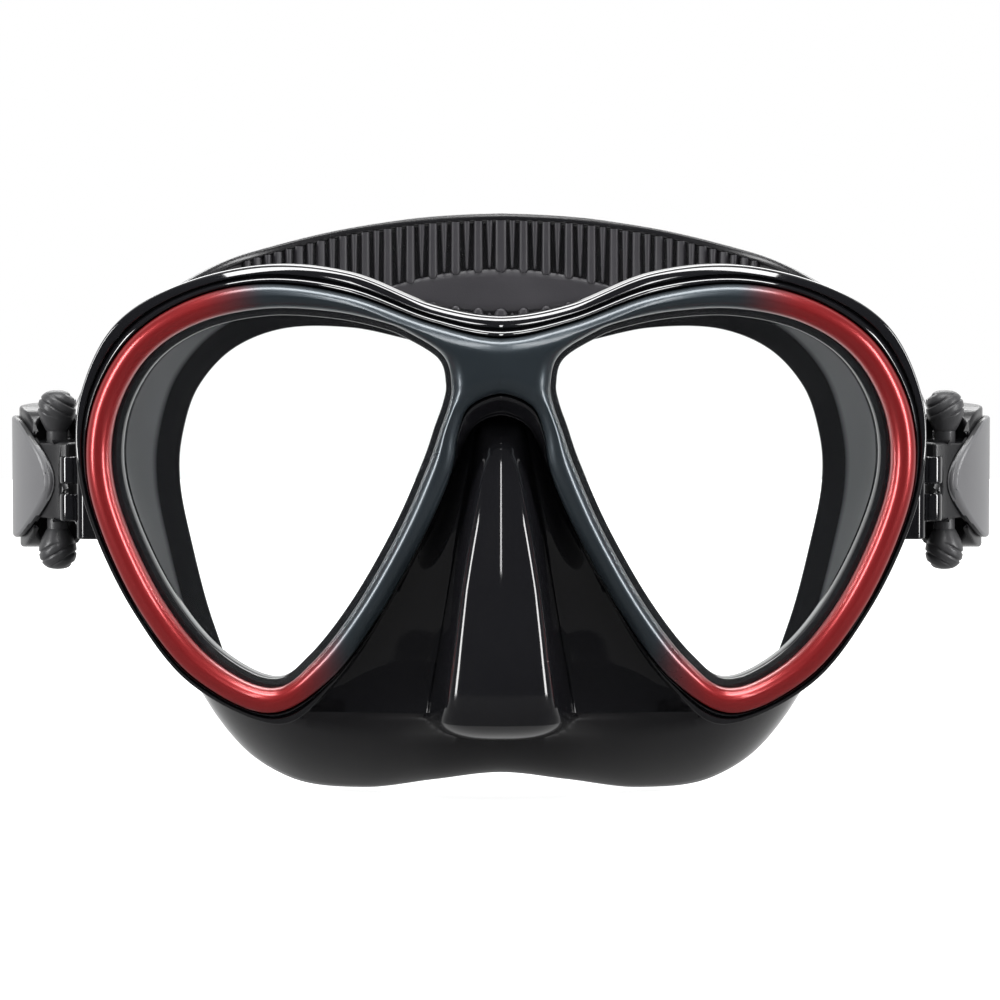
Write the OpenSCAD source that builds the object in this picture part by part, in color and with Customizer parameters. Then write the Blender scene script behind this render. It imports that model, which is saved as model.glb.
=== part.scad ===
// Twin-lens diving mask: a black frame and a painted bezel clamp two flat lenses on a silicone
// skirt, and a wide head strap hangs on two swivelling squeeze buckles.
// X points to the right as seen from the front, Y to the back of the head, Z up.
// The origin lies in the plane of the face seal, midway between the two buckle pivots.

/* [Frame] */
// Width over the outer edges of the frame
frame_w = 167; // [158:1:176]
// Height of the frame from the lower lobes to the brow
frame_h = 89.5; // [84:0.5:96]
// Depth of the frame from its front land to its back face
frame_depth = 9.4; // [8.8:0.2:12]
// Angle by which each lens is swept back
sweep = 5; // [3:0.5:7]
// Thickness of the ledge that the skirt clips over
ledge_t = 2; // [1.6:0.1:2.4]

/* [Lens] */
// Thickness of the glass
lens_t = 4; // [3:0.5:5]
// Width of the glass edge that the skirt and the bezel cover
lens_lap = 2.4; // [2:0.1:2.8]

/* [Bezel] */
// Width of the half-round bezel
bezel_w = 4.8; // [4.2:0.1:5.4]
// Height of the bezel's crest over the glass
bezel_h = 4; // [3:0.2:5]
// Width of the black skirt edge seen inside the bezel
bezel_inset = 1.5; // [1.2:0.1:1.8]

/* [Skirt] */
// Distance from the back of the glass to the face seal plane at the bridge
seal_depth = 30; // [26:1:36]
// Thickness of the silicone walls
wall = 2; // [1.6:0.1:2.6]
// Width of the turned-in face seal lip
lip_w = 6.5; // [5:0.25:9]
// Width of the free land left on the back of the frame outside the skirt
land_w = 5; // [4.5:0.25:6]
// Distance by which the nose pocket stands forward of its wings at the nose tip
nose_reach = 22; // [18:1:25]
// Half width of the nose pocket at the nostrils
nose_half_w = 15; // [13:0.5:17]

/* [Buckles] */
// Distance of the buckle pivots behind the face seal plane
pivot_back = 2; // [0:0.5:4]
// Distance of the buckle pivots below the middle of the frame's temples
pivot_drop = 3.5; // [2:0.5:5]
// Distance of the bosses' inner ends inside the widest point of the frame
boss_inset = 2; // [1:0.25:3]
// Diameter of the pivot pin
pin_d = 6; // [5:0.5:6]
// Outer radius of the curved buckle housing
buckle_r = 24.5; // [23.5:0.5:26]
// Thickness of the buckle housing across its curve
buckle_t = 8; // [8:0.2:9]
// Height of the buckle over its two rails
buckle_h = 28.6; // [27:0.5:31]
// Thickness of the cover plate
cover_t = 1.5; // [1.2:0.1:2]
// Diameter of a release button
button_d = 7.6; // [7:0.1:8]
// Height of a release button's cap
button_h = 8.4; // [7:0.2:9.5]
// Travel of a release button
button_travel = 1.5; // [1:0.1:1.6]
// Diameter of the strap roller
roller_d = 3.2; // [3:0.1:3.4]
// Diameter of the roller's pin
roller_pin_d = 1.6; // [1.4:0.1:1.8]

/* [Strap] */
// Width of the strap where it runs through the buckles
strap_w = 18.6; // [17:0.2:19]
// Thickness of the strap
strap_t = 1.8; // [1.6:0.1:1.9]
// Height of the wide panel behind the head
panel_h = 29; // [26:1:36]
// Distance from the pivots to the back of the strap loop
loop_reach = 130; // [120:1:140]
// Height of the panel over the buckles
strap_rise = 37.5; // [24:0.5:40]
// Distance from one rib of the panel to the next
rib_pitch = 4.6; // [4:0.2:6]
// Height of the ribs
rib_h = 0.9; // [0.6:0.1:1.2]

/* [Fits] */
// Radial clearance of the pins that turn
running_gap = 0.06; // [0.04:0.01:0.08]
// Clearance between pieces that lie in a rebate or a slot
seat_gap = 0.3; // [0.2:0.05:0.35]

/* [Hidden] */
$fn = 64;

// The outlines below are drawn at this width and height and fitted to the frame's own
drawn_w = 167;
drawn_h = 90.4;
// Steps between two rows of an outline: few in the lofted pieces, more in the cut ones
steps = 3;
fine = 6;
// More than half of the mask's width, height or depth, for cutting bodies
far = 250;
// Overlap of the two halves of a cut shape across the middle
middle = 10;
// Lets a cut run past the face that it opens
over = 1;

// Depths behind the crest of the bezel, along the normal of the glass
glass_front = bezel_h;
glass_back = glass_front + lens_t;
frame_front = 2.6;
frame_back = frame_front + frame_depth;
ledge_front = frame_back - ledge_t;
plate_front = frame_back + seat_gap / 2;
plate_back = plate_front + wall;
// Place of the crest's plane at the middle of the mask
crest_y = -seal_depth - glass_back;

// Right half of the mask, seen from the front, in rows that run from the brow over the temple and
// the cheek lobe up to the nose arch: frame edge u, z and edge of the clear view u, z
rows = [[0, 30.7, 19, 26.3], [14, 33, 24, 28.3], [30, 39.2, 33.5, 30.2], [47, 40.7, 46, 30.7],
    [64, 36.6, 58.5, 28], [76, 28.8, 68, 21.8], [82.4, 16, 73.7, 12], [83.5, 3, 75, 1],
    [80.6, -10.5, 72, -10.8], [72.5, -27.5, 65, -25], [61, -42, 56, -35.8], [44, -49.7, 45.5, -41],
    [33.5, -42, 38.2, -36.2], [24, -28.5, 29.8, -25.3], [15.6, -12.5, 21.6, -10.8], [9.6, 1, 16, 2],
    [8.3, 5, 13.6, 9], [5.2, 9.6, 12, 13.6], [0, 11.4, 11.4, 17.4], [0, 21, 12.8, 22.3]];
lobe_row = 11;
arch_row = 18;
// Outer edge of the bezel where it joins the bridge, from the row before the arch round to the brow
bridge_rows = [[8.5, 8.4], [6.2, 13.4], [0, 15.8], [0, 21.4], [0, 26.5], [13.7, 29.3], [30, 35]];
bridge_start = 16;
// Front edge of the skirt under the nose, from beside the lobe to the middle: x, distance behind the
// frame's plane, z
chin_edge = [[24, 5, -51.2], [12, 11, -51.5], [0, 13, -51.5]];
// Edge of the skirt on the face, from the brow over the temple and the cheek to the upper lip
seal_edge = [[0, -2, 28.5], [14, -1, 31], [29, 3, 34], [45, 9, 33.5], [58, 14, 28], [67, 17, 18],
    [71, 18, 6], [71.5, 17, -5], [69, 15, -18], [64, 12, -36], [55.5, 9, -55.5],
    [43, 7, -65], [28, 3, -66.6], [13.5, 0, -64.6], [0, -1, -63]];
// Share of the nose pocket's reach and of its half width, by height
nose_profile = [[-51.5, 0], [-50.5, 0.45], [-49, 0.72], [-47, 0.9], [-44, 1], [-30, 0.93], [-15, 0.75],
    [0, 0.5], [6, 0.3], [10, 0.1], [12, 0]];
nose_taper = [[-52, 1.3], [-20, 1.1], [16, 0.9]];

function lerp(a, b, t) = a + (b - a) * t;
function unit(v) = v / norm(v);
function clamp(v) = min(max(v, 0), 1);
function ease(v) = clamp(v) * clamp(v) * (3 - 2 * clamp(v));
function turned(v) = [-v[1], v[0]];
function reversed(v) = [for (k = [len(v) - 1:-1:0]) v[k]];
function fit_u(u) = u * frame_w / drawn_w;
function fit_z(z) = z * frame_h / drawn_h;
frame_rows = [for (r = rows) [fit_u(r[0]), fit_z(r[1])]];
view_rows = [for (r = rows) [fit_u(r[2]), fit_z(r[3])]];

// Smooth curves through the points p, with n steps between two points
function between(a, b, c, d, t) = 0.5 * (2 * b + (c - a) * t
    + (2 * a - 5 * b + 4 * c - d) * t * t + (3 * b - a - 3 * c + d) * t * t * t);
function ring(p, n) = let (c = len(p)) [
    for (i = [0:c - 1], k = [0:n - 1])
        between(p[(i + c - 1) % c], p[i], p[(i + 1) % c], p[(i + 2) % c], k / n)];
// Straight steps from a to b, without both ends
function steps_between(a, b, n) = [for (k = [1:n - 1]) lerp(a, b, k / n)];
// A closed clockwise outline moved outwards by d
function grown(p, d) = let (c = len(p)) [for (i = [0:c - 1])
    p[i] + d * turned(unit(p[(i + 1) % c] - p[(i + c - 1) % c]))];
function path(p, n, before, after) = let (q = concat([before], p, [after])) [
    for (i = [1:len(p) - 1], k = [0:n - 1]) between(q[i - 1], q[i], q[i + 1], q[i + 2], k / n),
    p[len(p) - 1]];
// A curve that starts and ends on the middle plane and crosses it squarely
function mirror_x(p) = len(p) == 2 ? [-p[0], p[1]] : [-p[0], p[1], p[2]];
function crossing_curve(p, n) = path(p, n, mirror_x(p[1]), mirror_x(p[len(p) - 2]));
// Closed half outline: a curve through the rows up to the arch, then straight up the middle
function half_outline(p, n) = concat(crossing_curve([for (i = [0:arch_row]) p[i]], n),
    steps_between(p[arch_row], p[arch_row + 1], n), [p[arch_row + 1]],
    steps_between(p[arch_row + 1], p[0], n));

frame_line = half_outline(frame_rows, fine);
view_line = ring(view_rows, fine);
frame_ring = half_outline(frame_rows, steps);
view_ring = ring(view_rows, steps);
stations = len(view_ring);

// Point at distance u from the middle and depth w behind the crest on the swept plane
function swept(p, w) = [p[0] * cos(sweep) - w * sin(sweep),
    crest_y + p[0] * sin(sweep) + w * cos(sweep), p[1]];
// The same, held on the middle plane where the outline lies on it
function swept_mid(p, w) = p[0] == 0 ? [0, crest_y + w / cos(sweep), p[1]] : swept(p, w);

module both() {
    children();
    mirror([1, 0, 0]) children();
}
module right_side() intersection() {
    children();
    translate([0, -far, -far]) cube(2 * far);
}
// A flat shape on the swept plane between two depths
module plate(from, to) translate([0, crest_y, 0]) rotate([0, 0, sweep]) translate([0, to, 0])
    rotate([90, 0, 0]) linear_extrude(to - from) children();
module frame_shape(grow = 0) let (line = grown(frame_line, grow))
    polygon(concat([for (i = [1:arch_row * fine - 1]) line[i]],
        [[-middle, frame_rows[arch_row][1] - grow], [-middle, frame_rows[0][1] + grow]]));
module view_shape(grow = 0) polygon(grown(view_line, grow));

// One closed solid from patches, each a grid of points; it leaves out triangles without area
function triangles(rows, cols, first) = [for (i = [0:rows - 2], k = [0:cols - 2])
    let (a = first + i * cols + k, b = a + cols) each [[a, a + 1, b + 1], [a, b + 1, b]]];
module stitched(patches) {
    points = [for (p = patches, row = p) each row];
    firsts = [for (i = 0, s = 0; i < len(patches);
        s = s + len(patches[i]) * len(patches[i][0]), i = i + 1) s];
    faces = [for (i = [0:len(patches) - 1]) each triangles(len(patches[i]), len(patches[i][0]), firsts[i])];
    polyhedron(points, [for (f = faces)
        if (norm(cross(points[f[1]] - points[f[0]], points[f[2]] - points[f[0]])) > 1e-6) f]);
}
// A patch of the left half, from the one of the right half
function left_patch(patch) = [for (row = patch)
    [for (k = [len(row) - 1:-1:0]) [-row[k][0], row[k][1], row[k][2]]]];
module mirrored_solid(patches) stitched(concat(patches, [for (p = patches) left_patch(p)]));

// ---- Lenses ----
module lens_right() color([0.8, 0.9, 0.92, 0.35]) plate(glass_front, glass_back) view_shape(lens_lap);
module lens_left() mirror([1, 0, 0]) lens_right();

// ---- Bezel: half-round over both lenses, with a flat-topped bridge ----
bezel_inner = grown(view_ring, bezel_inset);
bezel_rows = let (edge = grown(view_rows, bezel_inset + bezel_w)) [for (i = [0:len(rows) - 1])
    let (k = (i - bridge_start + len(rows)) % len(rows))
        k < len(bridge_rows) ? [fit_u(bridge_rows[k][0]), fit_z(bridge_rows[k][1])] : edge[i]];
bezel_outer = half_outline(bezel_rows, steps);
bezel_line = half_outline(bezel_rows, fine);
bezel_cols = 10;
function line_distance(p, a, b) =
    let (t = clamp((p - a) * (b - a) / ((b - a) * (b - a)))) norm(p - lerp(a, b, t));
// Distance from the bezel's outer edge, leaving out the middle line, which is no edge
function outer_distance(p, i) = let (last = arch_row * steps)
    min([for (k = [0:last - 1]) if (abs((k - i + stations * 1.5) % stations - stations / 2) < stations / 3)
        line_distance(p, bezel_outer[k], bezel_outer[k + 1])]);
function bezel_depth(d) = let (r = bezel_w / 2, q = clamp(1 - d / r)) bezel_h * (1 - sqrt(1 - q * q));
function on_seam(i) = i > arch_row * steps && i < stations;
function bezel_row(i) = let (a = bezel_inner[i], b = bezel_outer[i]) [for (k = [0:bezel_cols])
    let (t = (1 - cos(180 * k / bezel_cols)) / 2, p = lerp(a, b, t),
        foot = k == 0 || k == bezel_cols && !on_seam(i))
        swept_mid(p, foot ? glass_front : bezel_depth(min(norm(p - a), outer_distance(p, i))))];
function bezel_back(i) = [swept_mid(bezel_outer[i], glass_front), swept_mid(bezel_inner[i], glass_front)];
module front_bezel() color("firebrick") mirrored_solid([
    [for (i = [0:stations]) bezel_row(i % stations)],
    [for (i = [0:stations]) bezel_back(i % stations)]]);

// ---- Frame: rebate for the bezel, seat for the glass and a ledge for the skirt's bead ----
lens_play = 1.2;
neck_inset = 0.6;
module bezel_shape(grow = 0) {
    view_shape(bezel_inset + bezel_w + grow);
    polygon(concat([for (i = [0:arch_row * fine]) let (p = bezel_line[i]) if (p[0] < bezel_rows[2][0])
        p + [0, i < len(bezel_line) / 2 ? grow : -grow]],
        [[-middle, bezel_rows[arch_row][1] - grow], [-middle, bezel_rows[0][1] + grow]]));
}
module main_frame() color([0.08, 0.08, 0.09]) both() right_side() difference() {
    plate(frame_front, frame_back) frame_shape();
    plate(frame_front - over, glass_front) bezel_shape(seat_gap);
    plate(glass_front - over, ledge_front) view_shape(lens_lap + lens_play);
    plate(ledge_front - over, frame_back + over) view_shape(lens_lap - neck_inset);
}

// ---- Skirt: bead and groove round each lens, walls back to the face, turned-in lip, nose pocket ----
lobe = lobe_row * steps;
arch = arch_row * steps;
arm_overlap = 0.8;
bead_gap = 0.1;
bead_ring = grown(view_ring, lens_lap + lens_play / 2);
neck_ring = grown(view_ring, lens_lap - neck_inset - seat_gap);
wall_shares = [0, 0.35, 0.7, 1];
wall_bulge = 1.5;
lip_t = 1.2;
lip_rise = 3;
nose_play = 0.5;
wing_dip = 3;
// Width of frame left free outside the skirt, row by row from the brow to the lobe
land = [1, 1, 1, 1, 1, 1, 1, 1, 1, 0.8, 0.6, 0.3] * land_w;
frame_normals = [for (i = [0:arch_row]) let (a = i > 0 ? frame_rows[i - 1] : mirror_x(frame_rows[1]),
    b = i < arch_row ? frame_rows[i + 1] : mirror_x(frame_rows[i - 1])) turned(unit(b - a))];
function plate_point(p) = swept_mid(p, plate_front);
// Front edge of the skirt: behind the frame down to the lobe, and from there below the nose
wall_rows = concat([for (i = [0:lobe_row]) plate_point(frame_rows[i] - land[i] * frame_normals[i])],
    [for (p = chin_edge) plate_point([fit_u(p[0]), fit_z(p[2])]) + [0, p[1], 0]]);
wall_front = crossing_curve(wall_rows, steps);
arm_rows = concat([wall_rows[lobe_row]],
    [for (i = [lobe_row + 1:arch_row]) plate_point(frame_rows[i] - arm_overlap * frame_normals[i])]);
arm_front = path(arm_rows, steps, wall_rows[lobe_row - 1], mirror_x(arm_rows[len(arm_rows) - 2]));
seal_line = crossing_curve([for (p = seal_edge) [fit_u(p[0]), p[1], fit_z(p[2])]], steps);
wall_last = len(wall_front) - 1;
arm_last = len(arm_front) - 1;
nose_cols = wall_last - lobe;
// Outward direction across a line, seen from the front
function across(line, i) = let (last = len(line) - 1,
    d = (i < last ? line[i + 1] : mirror_x(line[last - 1])) - (i > 0 ? line[i - 1] : mirror_x(line[1])),
    v = unit([d[0], d[2]])) [-v[1], 0, v[0]];
function inner(line, i) = line[i] - wall * across(line, i) + [0, wall, 0];
wall_inner = [for (i = [0:wall_last]) inner(wall_front, i)];
arm_inner = [for (i = [0:arm_last]) i == 0 ? wall_inner[lobe] : inner(arm_front, i)];
function plate_row(i) = let (
        m = (i - arch) / (stations - arch),
        outer = i <= lobe ? wall_front[i] : i <= arch ? arm_front[i - lobe]
            : lerp(arm_front[arm_last], wall_front[0], m),
        back = i <= lobe ? wall_inner[i] : i <= arch ? arm_inner[i - lobe]
            : lerp(arm_inner[arm_last], wall_inner[0], m))
    [back, swept(view_ring[i], plate_back), swept(view_ring[i], glass_back),
        swept(bead_ring[i], glass_back), swept(bead_ring[i], ledge_front - bead_gap),
        swept(neck_ring[i], ledge_front - bead_gap), swept(neck_ring[i], plate_front), outer];
function wall_row(i) = let (front = wall_front[i], seal = seal_line[i], back = wall_inner[i],
        out = across(wall_front, i), flat = across(seal_line, i),
        tip = seal - lip_w * flat - [0, lip_rise, 0], seal_inner = seal - wall * flat - [0, wall, 0])
    concat([for (t = wall_shares) lerp(front, seal, t) + 4 * t * (1 - t) * wall_bulge * out],
        [tip, tip - [0, lip_t, 0]],
        [for (t = reversed(wall_shares)) lerp(back, seal_inner, t) + 4 * t * (1 - t) * wall_bulge * out]);
// The nose pocket's sheet, in rows across it from the skirt's edge below the nose up to the arch
function nose_point(outer, edge, k, thick) = let (
        level = outer[2] * drawn_h / frame_h, wing_cols = nose_cols / 3,
        widest = min(nose_half_w * lookup(level, nose_taper), outer[0] - arm_overlap - nose_play),
        a = max(widest - thick, 0.5),
        t = k / wing_cols, x = t < 1 ? lerp(edge[0], a, t) : a * (nose_cols - k) / (nose_cols - wing_cols),
        bell = 1 - ease((x / a - 0.45) / 0.55),
        dip = wing_dip * ease(-(level + 8) / 25) * ease((level + 51) / 12) * sin(180 * clamp(t / 2)))
    k == 0 || edge[0] == 0 ? edge : [x, edge[1] - (edge[0] - x) * tan(sweep) + dip * (1 - bell)
        - nose_reach * lookup(level, nose_profile) * bell, edge[2]];
function nose_row(j, inside) = [for (k = [0:nose_cols]) j == 0 ? (inside ? wall_inner : wall_front)[lobe + k]
    : nose_point(arm_front[j], (inside ? arm_inner : arm_front)[j], k, inside ? wall : 0)];
module skirt() color([0.06, 0.06, 0.07]) mirrored_solid([
    [for (i = [0:stations]) plate_row(i % stations)],
    [for (i = [0:wall_last]) wall_row(i)],
    [for (j = [0:arm_last]) nose_row(j, false)],
    [for (k = [0:nose_cols]) [for (j = [0:arm_last]) nose_row(j, true)[k]]]]);

// ---- Brackets and pivot pins: lugs on the back of the frame that carry the buckles ----
// Buckles and brackets are drawn from the inner end of the right boss, on the pivots' axis
pivot_x = frame_w / 2 - boss_inset;
module at_pivot() translate([pivot_x, pivot_back, -pivot_drop]) children();
// A flat shape drawn in depth and height, between two distances from the boss's inner end
module side_cut(from, to) translate([from, 0, 0]) rotate([90, 0, 90]) linear_extrude(to - from) children();
module upright(h) translate([0, 0, -h / 2]) linear_extrude(h) children();
boss_r = pin_d;
boss_l = 6.5;
pin_hold = 4.4;
pin_head_t = 1;
arm_t = 2.6;
arm_out = -seat_gap;
arm_in = arm_out - arm_t;
arm_half_h = 10.5;
foot_t = 2.5;
// Depth of the frame's back and of the cheek's rear face, which clears the swinging housing
foot_y = crest_y + frame_w / 2 * sin(sweep) + frame_back * cos(sweep) - pivot_back;
cheek_y = -12.3;
cheek_w = 2.4;
knuckle_d = 4.4;
knuckle_h = 5.4;
knuckle_levels = [-4.4, 3];
module arm_side() {
    circle(boss_r);
    polygon([[-far, -arm_half_h], [cheek_y, -arm_half_h], [-1, -boss_r], [-1, boss_r],
        [cheek_y, arm_half_h], [-far, arm_half_h]]);
}
module bracket_right() color([0.05, 0.05, 0.05]) difference() {
    union() {
        at_pivot() intersection() {
            upright(2 * far) polygon([[arm_in, foot_y + 0.4], [cheek_w - 1.6, foot_y + 0.4],
                [cheek_w - 0.4, foot_y + 1.4], [cheek_w, foot_y + 3], [cheek_w, cheek_y - 1.2],
                [cheek_w - 1.2, cheek_y], [arm_out + 1, cheek_y], [arm_out, cheek_y + 1.2], [arm_out, far], [arm_in, far]]);
            side_cut(arm_in - over, far) arm_side();
        }
        intersection() {
            plate(frame_back, frame_back + foot_t) difference() {
                frame_shape();
                frame_shape(2 * seat_gap - land_w);
            }
            translate([pivot_x + arm_in - land_w, -far, -pivot_drop - arm_half_h])
                cube([far, far, 2 * arm_half_h]);
        }
        for (z = knuckle_levels) at_pivot()
            translate([cheek_w - 1 + knuckle_d / 2, foot_y + 3 + knuckle_d / 2, z - knuckle_h / 2])
                cylinder(knuckle_h, d = knuckle_d);
    }
    at_pivot() side_cut(arm_in - far, far) circle(d = pin_d);
}
module bracket_left() mirror([1, 0, 0]) bracket_right();
module pivot_pin_right() color("silver") at_pivot() {
    side_cut(arm_in - pin_head_t, arm_in) circle(d = pin_d + 2);
    side_cut(arm_in, pin_hold) circle(d = pin_d);
}
module pivot_pin_left() mirror([1, 0, 0]) pivot_pin_right();

// ---- Buckles: a curved housing with two rails, a cover plate, two buttons and the strap roller ----
// The housing follows a bow of radius buckle_r, whose outermost point lies at buckle_out
buckle_out = 16.5;
bow = [buckle_out - buckle_r, 14];
bow_from = -58;
bow_to = 30;
slot_from = -15;
slot_half_h = strap_w / 2 + 0.4;
shoulder_h = 7.8;
shoulder_end = -1.5;
// Half height of the housing along its depth, from the end of the shoulder to the full rail
rail_rows = [[shoulder_end, shoulder_h], [0.5, 0.36 * buckle_h], [3.5, 0.46 * buckle_h],
    [7, 0.49 * buckle_h], [9.5, buckle_h / 2]];
rail_line = concat([[-far, shoulder_h]],
    path(rail_rows, 5, [shoulder_end - 2, shoulder_h], [12, buckle_h / 2]), [[far, buckle_h / 2]]);
roller_at = bow + (buckle_r - buckle_t / 2) * [cos(8), sin(8)];
roller_pin_hold = 3;
button_at = [7.7, 0];
button_gap = button_travel + seat_gap;
// Room round a button's cap, and depth of the seat under it
cap_room = 0.5;
cap_seat = 0.2;
button_bore_from = 0.8;
stem_d = 4.2;
stem_from = button_bore_from + 3.4;
// Half outline of the cover plate: depth, half height
leaf = [[-5, 0], [-4, 4], [-1, 8], [3.5, 11.2], [8, 12.2], [14, 12.2], [20, 11.6], [26, 10]];
leaf_line = path(leaf, 4, [-4, -4], [32, 8]);
function two_sided(rows) = concat(rows, [for (p = reversed(rows)) if (p[1] > 0) [p[0], -p[1]]]);
module bow_band(from_r, to_r, from_a, to_a) translate(bow) difference() {
    intersection() {
        circle(to_r);
        polygon([[0, 0], for (a = [from_a:(to_a - from_a) / 8:to_a]) 2 * to_r * [cos(a), sin(a)]]);
    }
    circle(from_r);
}
module buckle_body_right() color([0.3, 0.3, 0.32]) at_pivot() difference() {
    union() {
        intersection() {
            upright(buckle_h) bow_band(buckle_r - buckle_t, buckle_r, bow_from, bow_to);
            side_cut(-far, far) polygon(two_sided(rail_line));
        }
        side_cut(0, boss_l) circle(boss_r);
    }
    side_cut(-far, pin_hold + 0.2) circle(pin_d / 2 + running_gap);
    upright(2 * slot_half_h)
        bow_band(buckle_r - 2 * buckle_t, buckle_r + 2 * buckle_t, slot_from, bow_to + 20);
    upright(2 * (slot_half_h + roller_pin_hold)) translate(roller_at) circle(d = roller_pin_d, $fn = 24);
    for (side = [0, 1]) mirror([0, 0, side]) translate([button_at[0], button_at[1], button_bore_from])
        cylinder(far, r = stem_d / 2 + running_gap);
    for (side = [0, 1]) mirror([0, 0, side])
        translate([button_at[0], button_at[1], shoulder_h - cap_seat])
            cylinder(far, r = button_d / 2 + cap_room);
}
module buckle_body_left() mirror([1, 0, 0]) buckle_body_right();
module buckle_cover_right() color([0.45, 0.45, 0.47]) at_pivot() intersection() {
    upright(buckle_h) bow_band(buckle_r, buckle_r + cover_t, bow_from, bow_to + 5);
    side_cut(-far, far) polygon(two_sided(leaf_line));
}
module buckle_cover_left() mirror([1, 0, 0]) buckle_cover_right();

// A release button; its stem slides in the housing and its cap carries slanted grooves
cap_r = button_d / 2;
cap_profile = [[0, 0], [0.84, 0], [1, 0.12], [1, 0.7], [0.9, 0.87], [0.68, 0.96], [0.4, 1], [0, 1]];
groove_w = 0.5;
groove_rows = [0.3, 0.5, 0.7, 0.9];
module release_button() color([0.16, 0.16, 0.17]) at_pivot() translate([button_at[0], button_at[1], 0]) {
    difference() {
        translate([0, 0, shoulder_h + button_gap]) rotate_extrude()
            polygon([for (p = cap_profile) [p[0] * cap_r, p[1] * button_h]]);
        for (share = groove_rows) translate([0, -cap_r - 0.2, shoulder_h + button_gap + share * button_h])
            rotate([0, -25, 0]) cube([button_d, 1.2, groove_w], center = true);
    }
    translate([0, 0, stem_from]) cylinder(shoulder_h + button_gap - stem_from + 0.5, d = stem_d);
}
module release_button_upper_right() release_button();
module release_button_upper_left() mirror([1, 0, 0]) release_button();
module lower() translate([0, 0, -pivot_drop]) mirror([0, 0, 1]) translate([0, 0, pivot_drop]) children();
module release_button_lower_right() lower() release_button();
module release_button_lower_left() mirror([1, 0, 0]) lower() release_button();

// The coil spring behind a button
wire_d = 0.45;
coils = 3.5;
coil_r = stem_d / 2 - wire_d;
coil_steps = 12;
wire_sides = 6;
module button_spring() {
    turns = round(coils * coil_steps);
    height = stem_from - button_bore_from - wire_d;
    points = [for (i = [0:turns], k = [0:wire_sides - 1]) let (
        a = 360 * i / coil_steps, b = 360 * k / wire_sides, r = coil_r + wire_d / 2 * cos(b))
        [r * cos(a), r * sin(a), button_bore_from + wire_d / 2 + height * i / turns + wire_d / 2 * sin(b)]];
    faces = [for (i = [0:turns - 1], k = [0:wire_sides - 1])
        let (a = i * wire_sides + k, b = i * wire_sides + (k + 1) % wire_sides) each [
            [a, a + wire_sides, b + wire_sides], [a, b + wire_sides, b]]];
    color("silver") at_pivot() translate([button_at[0], button_at[1], 0]) polyhedron(points, concat(faces,
        [[for (k = [0:wire_sides - 1]) k]], [[for (k = [wire_sides - 1:-1:0]) turns * wire_sides + k]]));
}
module button_spring_upper_right() button_spring();
module button_spring_upper_left() mirror([1, 0, 0]) button_spring();
module button_spring_lower_right() lower() button_spring();
module button_spring_lower_left() mirror([1, 0, 0]) lower() button_spring();

module strap_roller_right() color([0.2, 0.2, 0.2]) at_pivot() translate([roller_at[0], roller_at[1], 0])
    upright(2 * slot_half_h - 2 * seat_gap) difference() {
        circle(d = roller_d, $fn = 32);
        circle(roller_pin_d / 2 + running_gap, $fn = 24);
    }
module strap_roller_left() mirror([1, 0, 0]) strap_roller_right();
module roller_pin_right() color("silver") at_pivot() translate([roller_at[0], roller_at[1], 0])
    upright(2 * (slot_half_h + roller_pin_hold)) circle(d = roller_pin_d, $fn = 24);
module roller_pin_left() mirror([1, 0, 0]) roller_pin_right();

// ---- Strap: a tail on each side, a bend round each roller and a loop with a ribbed panel behind ----
wrap_r = roller_d / 2 + seat_gap + strap_t / 2;
// The tail and the first run of the loop: distance out from the pivot, depth
tail_rows = [[9.6, 56], [10.25, 46], [10.6, 38], [11, 31], [11.8, 26], [13.7, 22]];
run_rows = [[9.2, 20], [8.5, 30], [8, 48], [5.5, 70]];
// The loop round the head: share of the pivots' half span, share of its reach
loop_rows = [[0.957, 0.73], [0.736, 0.892], [0.405, 0.977], [0, 1]];
function from_pivot(rows) = [for (p = rows) [pivot_x + p[0], p[1]]];
wrap_at = [pivot_x + roller_at[0], roller_at[1]];
back_rows = [for (p = loop_rows) [p[0] * pivot_x, p[1] * loop_reach]];
tail_line = path(concat(from_pivot(tail_rows), [wrap_at + [wrap_r, 0]]), steps,
    from_pivot([2 * tail_rows[0] - tail_rows[1]])[0], wrap_at + [wrap_r, -5]);
wrap_line = [for (a = [20:20:160]) wrap_at + wrap_r * [cos(a), -sin(a)]];
loop_line = path(concat([wrap_at - [wrap_r, 0]], from_pivot(run_rows), back_rows), steps + 1,
    wrap_at - [wrap_r, 5], mirror_x(back_rows[2]));
half_strap = concat(tail_line, wrap_line, loop_line);
strap_mid = concat(half_strap, [for (k = [len(half_strap) - 2:-1:0]) mirror_x(half_strap[k])]);
function beside(line, d) = [for (i = [0:len(line) - 1])
    line[i] + d * turned(unit(line[min(i + 1, len(line) - 1)] - line[max(i - 1, 0)]))];
module band(from, to) polygon(concat(beside(strap_mid, from), reversed(beside(strap_mid, to))));
// Rise of the strap's middle at its sides, by share of the loop's reach
rise_rows = [[-0.1, 0], [0.23, 0], [0.38, 0.07], [0.55, 0.27], [0.73, 0.58], [0.85, 0.8],
    [0.92, 0.9], [1.2, 1]];
rise_curve = path(rise_rows, fine, rise_rows[0], rise_rows[len(rise_rows) - 1]);
// Behind this share of the reach the panel's own outline rules, and the sides' outline opens wide
side_end = 0.86;
function strap_level(share) = strap_rise * lookup(share, rise_curve);
function strap_half_h(share) = strap_w / 2 + 4 * panel_h * max(share - side_end, 0);
strap_shares = [-0.1, each [0.23:0.045:1.02], 1.2];
module strap_side(less = 0) polygon([
    for (t = strap_shares) [t * loop_reach, strap_level(t) + strap_half_h(t) - less],
    for (t = reversed(strap_shares)) [t * loop_reach, strap_level(t) - strap_half_h(t) + less]]);
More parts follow.
